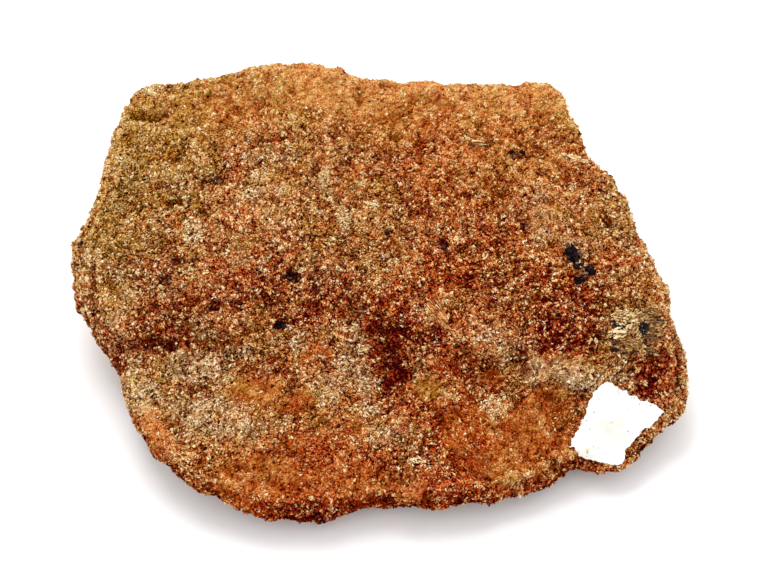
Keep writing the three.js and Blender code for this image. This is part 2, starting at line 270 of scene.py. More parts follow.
# High ground is painted lighter and low ground darker, finely and broadly, as painted light and shade
FINE_RELIEF_LIGHT_AND_SHADE = {"rounds": 14, "height": 0.3 * MM, "tone": 0.09, "limits": (-1.5, 1.2)}
BROAD_RELIEF_LIGHT_AND_SHADE = {"rounds": 120, "height": 1.0 * MM, "tone": 0.03, "limits": (-2, 1)}
RIM_SHADE_TONE = -0.27
RIM_SHADE_GAIN = 1.6
RIM_SHADE_FACING = 0.5
RIM_SHADE_FRONT_GAIN = 2

# Hue, from -1 for red to 1 for olive, and greyness, from -1 for orange to 1 for pale
PATCH_HUE = {"olive": 1, "red": -1, "pale": 0.15, "even": -0.25}
# The rim's painted shade is turned red as well
RIM_SHADE_HUE = -0.9
CRUST_ORANGE = 0.7
PALE_STRENGTH = 0.62
ORANGE_STRENGTH = 0.55

# How dark the ground is painted in the gaps between the grains, as painted shade, and the share of that which
# even ground loses
GAP_SHADE_TONE = 0.75
EVEN_GAP_SHADE_LOSS = 0.6

# The grains: how many, their half length and how it varies, the least and greatest of their sides by it,
# how far out of true each is, how far each stands out by its half length, and how far it leans and turns
GRAINS = 236_000
GRAIN_HALF_LENGTH = 0.265 * MM
GRAIN_SPREAD = 0.3
GRAIN_LIMITS = (0.15 * MM, 0.48 * MM)
GRAIN_SIDES = ((0.9, 0.6, 0.5), (1.6, 1.0, 0.9))
GRAIN_UNEVEN = 0.3
GRAIN_STANDS = (-0.5, 0.45)
CRYSTAL_LEAN = 0.45
GRAIN_LEAN = 0.25
GRAIN_TURN = 0.35

# The share of grains lost in crust, under the rock and under the label, and how much smaller crust grains are
CRUST_GRAINS_LOST = 0.4
UNDERSIDE_GRAINS_LOST = 0.8
UNDERSIDE_FACING = -0.7
LABEL_GRAINS_LOST = 0.97
CRUST_GRAIN_SHRINK = 0.3

# The tone of a grain: how it varies by grain, granule and crystal, how much lighter a grain that stands out
# is painted and how much darker one that sinks, as painted light and shade, how dark the borders are painted,
# as painted shade in the grooves between granules and crystals, how many granules are dark, and how even,
# pale and dark ground change that. The mean of the granule borders is taken off, to keep the whole as light.
# Tones above the light one are drawn in, and those below the dark one out
TONE_SPREAD = 0.13
STAND_LIGHT_AND_SHADE = 0.3
GRANULE_TONE = 0.20
GRANULE_BORDER_SHADE = -0.46
GRANULE_BORDER_SHADE_MEAN = 0.25
DARK_GRANULES = 0.16
DARK_GRANULE_TONE = -0.34
CRYSTAL_TONE = 0.13
CRYSTAL_BORDER_SHADE = -0.30
EVEN_CALM = 0.75
EVEN_FLATNESS = 0.7
PALE_ROUGHNESS = 0.5
DARK_ROUGHNESS = 0.3
LIGHT_TONE = 0.76
LIGHT_GAIN = 0.7
DARK_TONE = 0.4
DARK_GAIN = 1.3
HUE_SPREAD = {"crystal": 0.8, "granule": 0.9, "grain": 0.3}
GREY_SPREAD = {"crystal": 0.45, "granule": 0.25}

# The tone below which a grain is each mineral; the last one takes all the rest
LOWEST_TONE = -9
MINERALS = {"dark": 0.08, "rust": 0.32, "amber": 0.52, "tan": 0.70, "buff": 9.0}

# Mica flakes: how many places are tried, the chance of a flake by patch, the lowest one, their radius, how
# long, wide and thick they are by it, how far they tilt and stand out in mm, and how far out of true each is
FLAKE_TRIES = 10_000
FLAKE_CHANCE = 0.02
FLAKE_PATCH_CHANCE = {"pale": 0.4, "gold": 0.1}
FLAKE_LOWEST = 1.5 * MM
FLAKE_RADIUS = (0.12 * MM, 0.3 * MM)
FLAKE_LENGTH = (1.2, 2.0)
FLAKE_WIDTH = 0.7
FLAKE_THICKNESS = 0.6
FLAKE_TILT = 0.5
FLAKE_LIFT = 0.15
FLAKE_UNEVEN = 0.25

# Clusters of crystals: plan middle and half size in mm along and across their heading, how many, the way
# they point and how far they turn from it in degrees, their half length in mm, their tones, and how surely
# grains leave them bare
Cluster = namedtuple("Cluster", "at spread count heading fan half_length tones bare")
DARK_CRYSTALS = [
    Cluster((37.5, 0.8), (2.2, 1.2), 30, -53, 14, (0.3, 0.8), (0, 1), 0.6),
    Cluster((40.2, -1.6), (1.8, 0.6), 18, 56, 16, (0.3, 0.7), (0, 1), 0.5),
    Cluster((38.4, -3.4), (1.4, 0.4), 12, 32, 16, (0.25, 0.6), (0, 1), 0.5),
    Cluster((-16.2, -2.6), (1.7, 0.8), 14, 5, 40, (0.2, 0.5), (0.3, 1), 0.5),
    Cluster((-18.5, -10.5), (1.2, 0.9), 12, 40, 40, (0.2, 0.5), (0.3, 1), 0.5),
    Cluster((27.2, 22.4), (1.6, 0.7), 10, 10, 40, (0.2, 0.5), (0.3, 1), 0.4),
    Cluster((13.0, 2.8), (1.3, 0.6), 9, -60, 40, (0.2, 0.5), (0.3, 1), 0.4),
    Cluster((2.6, 4.8), (0.8, 0.7), 7, 0, 60, (0.2, 0.45), (0.3, 1), 0.4),
    Cluster((-31, 17.3), (0.9, 1.1), 8, 0, 60, (0.2, 0.5), (0.3, 1), 0.3),
    Cluster((-57.6, 8.2), (0.7, 1.0), 8, 0, 60, (0.2, 0.5), (0.3, 1), 0.3),
    Cluster((-3.1, -8.8), (0.9, 0.5), 6, 20, 60, (0.2, 0.4), (0.3, 1), 0.3),
]
BLADES = [
    Cluster((47.0, -9.6), (2.6, 1.9), 120, 8, 24, (0.15, 0.45), (0.55, 1), 0.55),
    Cluster((46.5, -10.5), (2.4, 0.5), 26, 4, 10, (0.2, 0.5), (0, 0.18), 0.4),
    Cluster((50.7, -11.4), (0.9, 1.7), 50, 8, 14, (0.2, 0.6), (0, 0.15), 0.9),
    Cluster((45.5, -11.2), (1.4, 0.7), 30, 10, 16, (0.2, 0.5), (0, 0.2), 0.8),
    Cluster((52.6, -10.6), (1.4, 3.4), 110, 5, 9, (0.3, 0.8), (0.12, 0.65), 0.7),
    Cluster((47.1, -13.6), (2.8, 1.1), 70, 8, 14, (0.25, 0.6), (0.1, 0.65), 0.5),
    Cluster((45.4, -12.2), (1.8, 0.8), 40, 12, 10, (0.3, 0.8), (0.75, 1), 0.6),
    Cluster((20.0, 24.7), (0.5, 0.2), 4, -4, 5, (0.8, 1.3), (0.75, 1), 0.5),
    Cluster((7.5, -35.3), (1.8, 0.5), 26, -12, 26, (0.2, 0.6), (0.7, 1), 0.5),
    Cluster((38.6, 22.2), (3.0, 0.4), 30, -16, 20, (0.2, 0.6), (0.6, 1), 0.5),
    Cluster((-45.3, 39.2), (1.0, 0.6), 16, -40, 26, (0.2, 0.5), (0.7, 1), 0.5),
    Cluster((-35.5, 6.5), (1.5, 2.8), 50, 60, 40, (0.15, 0.4), (0.6, 1), 0.3),
    Cluster((-24.0, 13.0), (1.5, 1.2), 24, 20, 50, (0.15, 0.4), (0.6, 1), 0.3),
    Cluster((-6.4, 8.3), (1.3, 1.4), 26, 20, 50, (0.15, 0.4), (0.6, 1), 0.3),
    Cluster((-0.5, 10.3), (1.2, 0.6), 16, 10, 40, (0.15, 0.5), (0.7, 1), 0.4),
    Cluster((21.3, -24.1), (2.0, 1.8), 40, 40, 60, (0.12, 0.3), (0.7, 1), 0.2),
    Cluster((-2.8, -14.2), (0.8, 0.8), 14, 50, 40, (0.2, 0.5), (0.7, 1), 0.5),
    Cluster((-4.8, -11.2), (1.4, 0.5), 20, 20, 40, (0.2, 0.5), (0.6, 1), 0.5),
]
FAN = [
    Cluster((11.4, -10.2), (2.6, 1.3), 110, -54, 7, (0.4, 1.1), (0, 0.95), 0.85),
    Cluster((12.5, -11.5), (1.7, 0.7), 44, -54, 6, (0.5, 1.2), (0.6, 1), 0.9),
    Cluster((25.5, -21.0), (4.5, 0.6), 34, 23, 22, (0.2, 0.5), (0.3, 1), 0.3),
    Cluster((34.5, -17.7), (5.0, 0.6), 40, 17, 22, (0.2, 0.5), (0.4, 1), 0.3),
    Cluster((10.4, 19.4), (1.5, 1.2), 36, -50, 12, (0.3, 0.8), (0.1, 0.7), 0.5),
    Cluster((18.0, -34.5), (4.0, 3.0), 110, -38, 12, (0.3, 0.8), (0.1, 0.6), 0.3),
]

# How thick the crystals are, as a half width, a half height and a share of the half length that both gain,
# how far they stand out in mm, how their widths and heights vary, how they face, partly as the rock does and
# partly up and to the front, how far they tilt and are out of true, and a height in metres above the rock
DARK_GIRTH = (0, 0, 0.6)
FAN_GIRTH = (0.09 * MM, 0.1 * MM, 0)
BLADE_GIRTH = (0.13 * MM, 0.11 * MM, 0)
DARK_STANDS = (-0.1, 0.35)
FAN_STANDS = (-0.04, 0.16)
BLADE_STANDS = (-0.05, 0.2)
CRYSTAL_WIDTHS = (0.6, 1.4)
CRYSTAL_HEIGHTS = (0.7, 1.3)
CRYSTAL_FACING = Vector((0, -0.3, 0.9))
CRYSTAL_TILT = 0.14
CRYSTAL_UNEVEN = 0.2
ABOVE_ALL = 0.1

# The label: the way it faces, the middle of its plane, and its plan outline, in mm, going round it
LABEL_FACING = Vector((0.071, -0.383, 0.921)).normalized()
LABEL_MIDDLE = Vector((45.5, -26.3, 11.0)) * MM
LABEL_OUTLINE = [
    (42.2, -19.3), (43.5, -18.9), (46.2, -19.8), (48.9, -20.9), (52.4, -22.3), (54.3, -23.1), (54.6, -24.0),
    (53.8, -25.3), (52.0, -26.5), (50.5, -27.6), (49.0, -29.1), (48.0, -30.2), (47.6, -31.3), (47.1, -32.6),
    (46.5, -33.3), (45.4, -33.6), (43.9, -33.5), (41.8, -33.3), (40.1, -32.9), (38.1, -32.6), (37.3, -31.8),
    (35.7, -31.1), (36.6, -29.0), (39.1, -24.5), (40.8, -21.1),
]
LABEL_DEPTH = 6 * MM
LABEL_GROUND_ROUNDS = 40

# The label's coat: the sheet that it is cut from, how ragged its edges are, by size and in mm, less so at
# its tip, how far below the sheet it may lie, its steepest face, and how it is brushed on
LABEL_SPAN = 23 * MM
LABEL_STEPS = 100
LABEL_LIFT = 9 * MM
LABEL_RAGGED = [(1.1 * MM, 0.65), (0.4 * MM, 0.4)]
LABEL_TIP = -32 * MM
LABEL_TIP_RAGGED = 0.3
LABEL_FALL = (-11.8 * MM, -1 * MM)
LABEL_STEEPEST = 0.5
LABEL_OFFSET = 0.28 * MM
LABEL_ROUNDS = 10
LABEL_THICKNESS = 0.35 * MM

# Specks on the label: the chance of one on a face anywhere and at its edge, how far from the edge, in mm,
# that drops off, their half sizes in mm and how their sides vary, and their tones
SPECK_FACING = 0.6
SPECK_CHANCE = 0.004
SPECK_EDGE_CHANCE = 0.12
SPECK_EDGE = 0.6
SPECK_HALF = (0.1, 0.3)
SPECK_SIDES = (0.6, 1.4)
SPECK_TILT = 0.2
SPECK_TONES = (0, 0.5)


def select_only(piece):
    bpy.ops.object.select_all(action="DESELECT")
    piece.select_set(True)
    bpy.context.view_layer.objects.active = piece


def apply_modifiers(piece):
    select_only(piece)
    for modifier in list(piece.modifiers):
        bpy.ops.object.modifier_apply(modifier=modifier.name)


def add_piece(name, data):
    piece = bpy.data.objects.new(name, data)
    bpy.context.scene.collection.objects.link(piece)
    return piece


def numbers(items, field, width):
    """One field of a mesh's corners, faces or edges, as rows of so many numbers."""
    found = np.empty(len(items) * width)
    items.foreach_get(field, found)
    return found.reshape(-1, width)


def finish_piece(piece, material, slot, *nodes):
    piece.data.materials.clear()
    piece.data.materials.append(material)
    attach(piece, BODY)
    if nodes:
        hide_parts(*nodes)


# The rock body


def rock_body():
    """The broken rock without its grains, its crystals, and the way that its smooth shape faces."""
    piece = add_piece("rock_body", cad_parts["rock"].data.copy())
    make_even_mesh(piece)
    lay_out_map(piece)
    facing = numbers(piece.data.vertex_normals, "vector", 3)
    raise_relief(piece, facing)
    crystals = crystal_seeds(piece)
    raise_crystals(piece, crystals)
    press_hollows(piece)
    bpy.ops.object.shade_smooth()
    return piece, crystals, facing


def make_even_mesh(piece):
    """Turns the solid's triangles into small even squares and softens its facets."""
    select_only(piece)
    bpy.ops.object.mode_set(mode="EDIT")
    bpy.ops.mesh.select_all(action="SELECT")
    bpy.ops.mesh.remove_doubles(threshold=MERGE_WITHIN)
    bpy.ops.object.mode_set(mode="OBJECT")
    remesh = piece.modifiers.new("even mesh", "REMESH")
    remesh.mode = "VOXEL"
    remesh.voxel_size = BODY_VOXEL
    smooth = piece.modifiers.new("soft facets", "SMOOTH")
    smooth.factor = BODY_SMOOTHING["factor"]
    smooth.iterations = BODY_SMOOTHING["rounds"]
    apply_modifiers(piece)


def lay_out_map(piece):
    """Gives the body a map of its own for baking, in place of the solid's."""
    while piece.data.uv_layers:
        piece.data.uv_layers.remove(piece.data.uv_layers[0])
    piece.data.uv_layers.new(name=BAKE_MAP)
    bpy.ops.object.mode_set(mode="EDIT")
    bpy.ops.mesh.select_all(action="SELECT")
    bpy.ops.uv.smart_project(angle_limit=MAP_ANGLE, island_margin=MAP_MARGIN)
    bpy.ops.object.mode_set(mode="OBJECT")


def raise_relief(piece, facing):
    """Raises slabs and lumps all over the body, and rougher breaks at its back."""
    back = piece.vertex_groups.new(name="broken back")
    height = numbers(piece.data.vertices, "co", 3)[:, 2] / MM
    turned_away = np.clip(BACK_GAIN * facing[:, 1] - BACK_START, 0, 1)
    share = turned_away * np.clip((BACK_TOP - height) / BACK_FADE, 0, 1)
    for index in np.flatnonzero(share):
        back.add([int(index)], share[index], "REPLACE")
    for name, relief in RELIEF.items():
        texture = bpy.data.textures.new(name, "CLOUDS")
        texture.noise_scale = relief["size"]
        displace = piece.modifiers.new(name, "DISPLACE")
        displace.texture = texture
        displace.vertex_group = name if name in piece.vertex_groups else ""
        displace.texture_coords = "LOCAL"
        displace.strength = relief["height"]
        displace.mid_level = 0.5
    apply_modifiers(piece)
    piece.vertex_groups.clear()


def crystal_seeds(piece):
    """The crystals that the rock is made of, with the middle, heading, lean, step and colour of each."""
    draw = np.random.default_rng(SEEDS["crystals"])
    centres = numbers(piece.data.polygons, "center", 3)
    middles = centres[draw.choice(len(centres), CRYSTALS, replace=False)]
    return {
        "middle": middles,
        "tree": search_tree(middles),
        "heading": draw.normal(size=(CRYSTALS, 3)),
        "lean": draw.normal(size=(CRYSTALS, 3)),
        "step": draw.normal(size=CRYSTALS),
        "tone": draw.normal(size=CRYSTALS),
        "hue": draw.normal(size=CRYSTALS),
        "grey": draw.normal(size=CRYSTALS),
    }


def search_tree(middles):
    tree = KDTree(len(middles))
    for index, middle in enumerate(middles):
        tree.insert(middle, index)
    tree.balance()
    return tree


def cell_at(tree, places):
    """The crystal or granule that each place belongs to, and how far from its border that is, from 0 to 1."""
    owner = np.empty(len(places), int)
    inward = np.empty(len(places))
    for index, place in enumerate(places):
        (_, owner[index], near), (_, _, far) = tree.find_n(place, 2)
        inward[index] = (far - near) / (far + near)
    return owner, np.clip(CELL_RISE * inward, 0, 1)


def raise_crystals(piece, crystals):
    """Bulges each crystal out of the surface and leaves a groove round it."""
    places = numbers(piece.data.vertices, "co", 3)
    outward = numbers(piece.data.vertex_normals, "vector", 3)
    owner, inward = cell_at(crystals["tree"], places)
    height = CRYSTAL_BULGE * (np.sqrt(inward) - CRYSTAL_SUNK) + CRYSTAL_STEP * crystals["step"][owner]
    piece.data.vertices.foreach_set("co", (places + outward * height[:, None]).ravel())
    piece.data.update()


def press_hollows(piece):
    """Presses ledges, hollows and crevices into the top, evens it under the label and keeps the base flat."""
    places = numbers(piece.data.vertices, "co", 3)
    outward = numbers(piece.data.vertex_normals, "vector", 3)
    depth = pressed_depth(places) * np.clip(outward[:, 2] * PRESS_GAIN, 0, 1)
    places -= outward * depth[:, None] * MM
    edges = numbers(piece.data.edges, "vertices", 2).astype(int)
    under_label = on_label(places)
    places[under_label] = evened(places, edges, LABEL_GROUND_ROUNDS)[under_label]
    places[:, 2] = np.maximum(places[:, 2], 0)
    piece.data.vertices.foreach_set("co", places.ravel())
    piece.data.update()


def pressed_depth(places):
    """How deep, in mm, the ledges, hollows, pits and crevices are at each place."""
    draw = np.random.default_rng(SEEDS["pits"])
    plan = places[:, :2] / MM + PRESS_WANDER * drift(places, PRESS_WANDER_SIZE)[:, :2]
    depth = np.zeros(len(places))
    for ledge in LEDGES:
        away, front = distance_to_line(plan, ledge["through"])
        step = np.clip(away / LEDGE_EDGE, 0, 1) * np.clip(1 - away / ledge["reach"], 0, 1)
        depth += ledge["drop"] * np.where(front, step, 0)
    low, high = (np.array(corner)[:2] / MM for corner in cad_box)
    pits = [
        (*draw.uniform(low, high), draw.uniform(*SMALL_PITS["radius"]), draw.uniform(*SMALL_PITS["depth"]))
        for _ in range(SMALL_PITS["count"])
    ]
    for x, y, radius, deep in HOLLOWS + pits:
        reach = np.hypot(plan[:, 0] - x, plan[:, 1] - y) / radius
        depth += deep * np.clip(1 - reach**2, 0, 1)
    for crevice in CREVICES:
        away, _ = distance_to_line(plan, crevice["through"])
        depth += crevice["depth"] * np.clip(CREVICE_LIPS - away / crevice["half_width"], 0, 1)
    return depth


def distance_to_line(plan, through):
    """How far each plan place is from a line through a few points, and whether it lies on its near side."""
    nearest = np.full(len(plan), np.inf)
    front = np.zeros(len(plan), bool)
    for start, end in zip(through, through[1:]):
        along = np.subtract(end, start)
        share = np.clip((plan - start) @ along / (along @ along), 0, 1)
        gap = plan - start - share[:, None] * along
        away = np.hypot(*gap.T)
        closer = away < nearest
        nearest = np.where(closer, away, nearest)
        front = np.where(closer, along[0] * gap[:, 1] - along[1] * gap[:, 0] < 0, front)
    return nearest, front


def drift(places, size):
    """A smooth random drift in three directions, from -1 to 1, that changes over about the given size."""
    return np.array([noise.noise_vector(Vector(place)) for place in places / size])


def surface_fields(body, facing):
    """What shows at each corner of the body: the patches by kind, and the tone and tint that come of them,
    with painted light and shade on high and low ground and painted shade on the rim.
    """
    places = numbers(body.data.vertices, "co", 3)
    outward = numbers(body.data.vertex_normals, "vector", 3)
    edges = numbers(body.data.edges, "vertices", 2).astype(int)
    drifts = [drift(places, size) for size in DRIFT_SIZES]
    fields = patch_fields(places, outward, drifts)
    fields["even"] = np.maximum(np.maximum(fields["crust"], fields["orange"]), fields["gold"])
    # Painted shade in the gaps between the grains, less on even ground
    fields["gap"] = GAP_SHADE_TONE * (1 - EVEN_GAP_SHADE_LOSS * fields["even"])
    # Painted shade: the rim that faces down and to the front is darkened and reddened
    rim_shade = np.clip(RIM_SHADE_GAIN * (RIM_SHADE_FACING - facing[:, 2]), 0, 1)
    rim_shade *= np.clip(-RIM_SHADE_FRONT_GAIN * facing[:, 1], 0, 1)
    fields["tone"] = TONE_MIDDLE + RIM_SHADE_TONE * rim_shade
    fields["tone"] += sum(shift * fields[kind] for kind, shift in PATCH_TONE.items())
    # Painted light on high ground and painted shade in low ground
    fields["tone"] += relief_light_and_shade(places, edges, outward, FINE_RELIEF_LIGHT_AND_SHADE)
    fields["tone"] += relief_light_and_shade(places, edges, facing, BROAD_RELIEF_LIGHT_AND_SHADE)
    fields["hue"] = RIM_SHADE_HUE * rim_shade + sum(shift * fields[kind] for kind, shift in PATCH_HUE.items())
    fields["grey"] = np.maximum(fields["pale"], fields["grey"])
    fields["grey"] -= np.maximum(fields["orange"], CRUST_ORANGE * fields["crust"])
    for axis, (field, amounts) in enumerate(FIELD_DRIFT.items()):
        fields[field] += sum(amount * layer[:, axis] for amount, layer in zip(amounts, drifts))
    return fields


def patch_fields(places, outward, drifts):
    """How strongly each kind of patch shows at each place."""
    plan = places[:, :2] / MM
    for wander, layer in zip(PATCH_WANDER, drifts):
        plan = plan + wander * layer[:, :2]
    fields = {}
    for kind, patches in PATCHES.items():
        weight = np.zeros(len(places))
        for x, y, radius_x, radius_y, strength in patches:
            reach = np.hypot((plan[:, 0] - x) / radius_x, (plan[:, 1] - y) / radius_y)
            weight = np.maximum(weight, strength * np.clip((PATCH_END - reach) / PATCH_FADE, 0, 1))
        fields[kind] = weight * (outward[:, 2] > PATCH_LOWEST_FACING)
    return fields


def relief_light_and_shade(places, edges, outward, relief):
    """Painted light and shade: how much lighter high ground is than the ground around it, and how much darker
    low ground.
    """
    height = ((places - evened(places, edges, relief["rounds"])) * outward).sum(1) / relief["height"]
    return relief["tone"] * np.clip(height, *relief["limits"])


def tints(hue, grey):
    """How strongly each tint shows, for a hue from red to olive and a greyness from orange to pale."""
    return {
        "red": np.clip(-hue, 0, 1),
        "olive": np.clip(hue, 0, 1),
        "pale": PALE_STRENGTH * np.clip(grey, 0, 1),
        "orange": ORANGE_STRENGTH * np.clip(-grey, 0, 1),
    }


def evened(places, edges, rounds):
    """The places after each has moved to the middle of its neighbours a few times."""
    start, end = np.concatenate([edges, edges[:, ::-1]]).T
    count = len(places)
    neighbours = np.bincount(start, minlength=count)
    for _ in range(rounds):
        sums = [np.bincount(start, weights=places[end, axis], minlength=count) for axis in range(3)]
        places = np.stack(sums, 1) / neighbours[:, None]
    return places


def inside_outline(plan, outline):
    """Which plan places lie inside an outline."""
    inside = np.zeros(len(plan), bool)
    for (x0, y0), (x1, y1) in zip(outline, outline[1:] + outline[:1]):
        crosses = (y0 > plan[:, 1]) != (y1 > plan[:, 1])
        if y0 != y1:
            inside ^= crosses & (plan[:, 0] < x0 + (plan[:, 1] - y0) * (x1 - x0) / (y1 - y0))
    return inside


def on_label(places):
    """Which places lie under the label, going straight in from its plane."""
    facing, middle = np.array(LABEL_FACING), np.array(LABEL_MIDDLE)
    above = (places - middle) @ facing
    plan = (places - above[:, None] * facing)[:, :2] / MM
    return inside_outline(plan, LABEL_OUTLINE) & (np.abs(above) < LABEL_DEPTH)


# Small shapes, modelled once and copied as arrays


def taken_shape():
    """Corners and triangles of the shape being modelled, which is then removed."""
    bpy.ops.mesh.select_all(action="SELECT")
    bpy.ops.mesh.quads_convert_to_tris()
    bpy.ops.object.mode_set(mode="OBJECT")
    model = bpy.context.active_object
    corners = numbers(model.data.vertices, "co", 3)
    faces = numbers(model.data.polygons, "vertices", 3).astype(int)
    bpy.data.objects.remove(model)
    return corners, faces


def select_corners(wanted):
    """Selects the corners of the shape being modelled that a test on their place picks."""
    bpy.ops.mesh.select_all(action="DESELECT")
    bpy.ops.object.mode_set(mode="OBJECT")
    for corner in bpy.context.active_object.data.vertices:
        corner.select = bool(wanted(corner.co))
    bpy.ops.object.mode_set(mode="EDIT")


def shard_shape():
    """A sharp four-sided shard, knocked off centre."""
    bpy.ops.mesh.primitive_cone_add(vertices=3, radius1=1, depth=1.4)
    bpy.ops.object.mode_set(mode="EDIT")
    select_corners(lambda place: place.z > 0)
    bpy.ops.transform.translate(value=(0.4, 0.2, -0.1))
    return taken_shape()


def plate_shape():
    """A thin six-sided plate, drawn out on one side."""
    bpy.ops.mesh.primitive_cylinder_add(vertices=6, radius=1, depth=0.24)
    bpy.ops.object.mode_set(mode="EDIT")
    select_corners(lambda place: place.x > 0.7)
    bpy.ops.transform.translate(value=(0.25, 0.1, 0))
    return taken_shape()


def block_shape():
    """A block with two cleaved corners."""
    bpy.ops.mesh.primitive_cube_add(size=2)
    bpy.ops.object.mode_set(mode="EDIT")
    for place, way in (((0.5, 0.4, 0.6), (0.6, 0.5, 0.7)), ((-0.6, -0.3, 0.5), (-0.7, -0.4, 0.6))):
        bpy.ops.mesh.select_all(action="SELECT")
        bpy.ops.mesh.bisect(plane_co=place, plane_no=way, use_fill=True, clear_outer=True)
    return taken_shape()


def blade_shape():
    """A flat blade along X, thinner at one end."""
    bpy.ops.mesh.primitive_cube_add(size=2)
    bpy.ops.object.mode_set(mode="EDIT")
    select_corners(lambda place: place.x > 0)
    bpy.ops.transform.resize(value=(1, 0.4, 0.6))
    return taken_shape()


def joined_piece(name, shape, centres, axes, sizes, values, uneven, draw):
    """One piece of many small shapes, each turned, sized and knocked out of true in its own way."""
    corners, faces = shape
    count = len(centres)
    knocked = corners[None] * (1 + draw.uniform(-uneven, uneven, (count, len(corners), 3)))
    places = centres[:, None, :] + np.einsum("nij,nkj->nki", axes, knocked * sizes[:, None, :])
    places = places.reshape(-1, 3)
    places[:, 2] = np.maximum(places[:, 2], 0)
    starts = np.arange(count) * len(corners)
    all_faces = (starts[:, None, None] + faces[None]).reshape(-1, 3)
    mesh = bpy.data.meshes.new(name)
    mesh.vertices.add(len(places))
    mesh.vertices.foreach_set("co", places.ravel())
    mesh.loops.add(all_faces.size)
    mesh.loops.foreach_set("vertex_index", all_faces.ravel())
    mesh.polygons.add(len(all_faces))
    mesh.polygons.foreach_set("loop_start", np.arange(len(all_faces)) * 3)
    for field, value in values.items():
        of_faces = np.repeat(value, len(faces))
        mesh.attributes.new(field, "FLOAT", "FACE").data.foreach_set("value", of_faces)
    mesh.update(calc_edges=True)
    spread_map(mesh, count, len(faces))
    return add_piece(name, mesh)


def spread_map(mesh, count, faces_each):
    """A map for baking, with a small cell for each copy, in which all its faces lie one on another."""
    copy_of_face = np.repeat(np.arange(count), faces_each)
    across = math.ceil(math.sqrt(count))
    cell = np.stack([copy_of_face % across, copy_of_face // across], 1)
    places = (cell[:, None, :] + np.array(MAP_CELL)) / across
    mesh.uv_layers.new(name=BAKE_MAP).data.foreach_set("uv", places.ravel())


def lying_axes(outward, heading):
    """Turns that lay each copy on the surface, with its length along a heading."""
    up = outward / np.linalg.norm(outward, axis=1, keepdims=True)
    along = heading - up * (heading * up).sum(1, keepdims=True)
    along /= np.linalg.norm(along, axis=1, keepdims=True)
    return np.stack([along, np.cross(up, along), up], 2)


# Grains and flakes


def surface_points(body, fields, count, draw):
    """Places spread over the body's faces, with the way that the surface faces and what shows there."""
    mesh = body.data
    corners = numbers(mesh.loops, "vertex_index", 1).astype(int).reshape(-1, 4)
    corners = corners[draw.integers(len(corners), size=count)]
    u, v = draw.random((2, count))
    shares = np.stack([(1 - u) * (1 - v), u * (1 - v), u * v, (1 - u) * v], 1)
    places = (numbers(mesh.vertices, "co", 3)[corners] * shares[:, :, None]).sum(1)
    outward = (numbers(mesh.vertex_normals, "vector", 3)[corners] * shares[:, :, None]).sum(1)
    return places, outward, {kind: (field[corners] * shares).sum(1) for kind, field in fields.items()}


def kept_points(places, outward, found, kept):
    return places[kept], outward[kept], {kind: field[kept] for kind, field in found.items()}


def granule_seeds(body, fields):
    """The granules that the crystals are broken into, with the tone, hue and greyness of each."""
    draw = np.random.default_rng(SEEDS["granules"])
    middles, _, _ = surface_points(body, fields, GRANULES, draw)
    dark = draw.random(GRANULES) < DARK_GRANULES
    return {
        "tree": search_tree(middles),
        "tone": GRANULE_TONE * draw.normal(size=GRANULES) + DARK_GRANULE_TONE * (dark - DARK_GRANULES),
        "hue": draw.normal(size=GRANULES),
        "grey": draw.normal(size=GRANULES),
    }


def grain_spots(body, fields, draw):
    """Where the grains stand: fewer in crust and in crystals, under the rock and under the label."""
    places, outward, found = surface_points(body, fields, GRAINS, draw)
    lost = np.max(
        [
            CRUST_GRAINS_LOST * found["crust"],
            UNDERSIDE_GRAINS_LOST * (outward[:, 2] < UNDERSIDE_FACING),
            LABEL_GRAINS_LOST * on_label(places),
            in_crystals(places),
        ],
        axis=0,
    )
    return kept_points(places, outward, found, draw.random(GRAINS) > lost)


def grain_tones(found, stands, crystal, inward, granule, middle, draw):
    """The tone of each grain, from its patch, its crystal and its granule, with painted shade at the borders
    of both and painted light and shade by how far it stands out.
    """
    rough = 1 + PALE_ROUGHNESS * found["pale"] + DARK_ROUGHNESS * found["dark"]
    rough *= 1 - EVEN_CALM * found["even"]
    # Painted light on grains that stand out and painted shade on those that sink
    tone = found["tone"] + TONE_SPREAD * rough * draw.normal(size=len(stands)) + STAND_LIGHT_AND_SHADE * stands
    # Painted shade at the borders of granules and crystals
    tone += rough * (granule["tone"] + GRANULE_BORDER_SHADE * ((1 - middle) ** 2 - GRANULE_BORDER_SHADE_MEAN))
    tone += CRYSTAL_TONE * crystal["tone"] + CRYSTAL_BORDER_SHADE * (1 - inward) ** 2
    light = np.where(tone > LIGHT_TONE, LIGHT_TONE + LIGHT_GAIN * (tone - LIGHT_TONE), tone)
    return np.where(tone < DARK_TONE, DARK_TONE + DARK_GAIN * (tone - DARK_TONE), light)


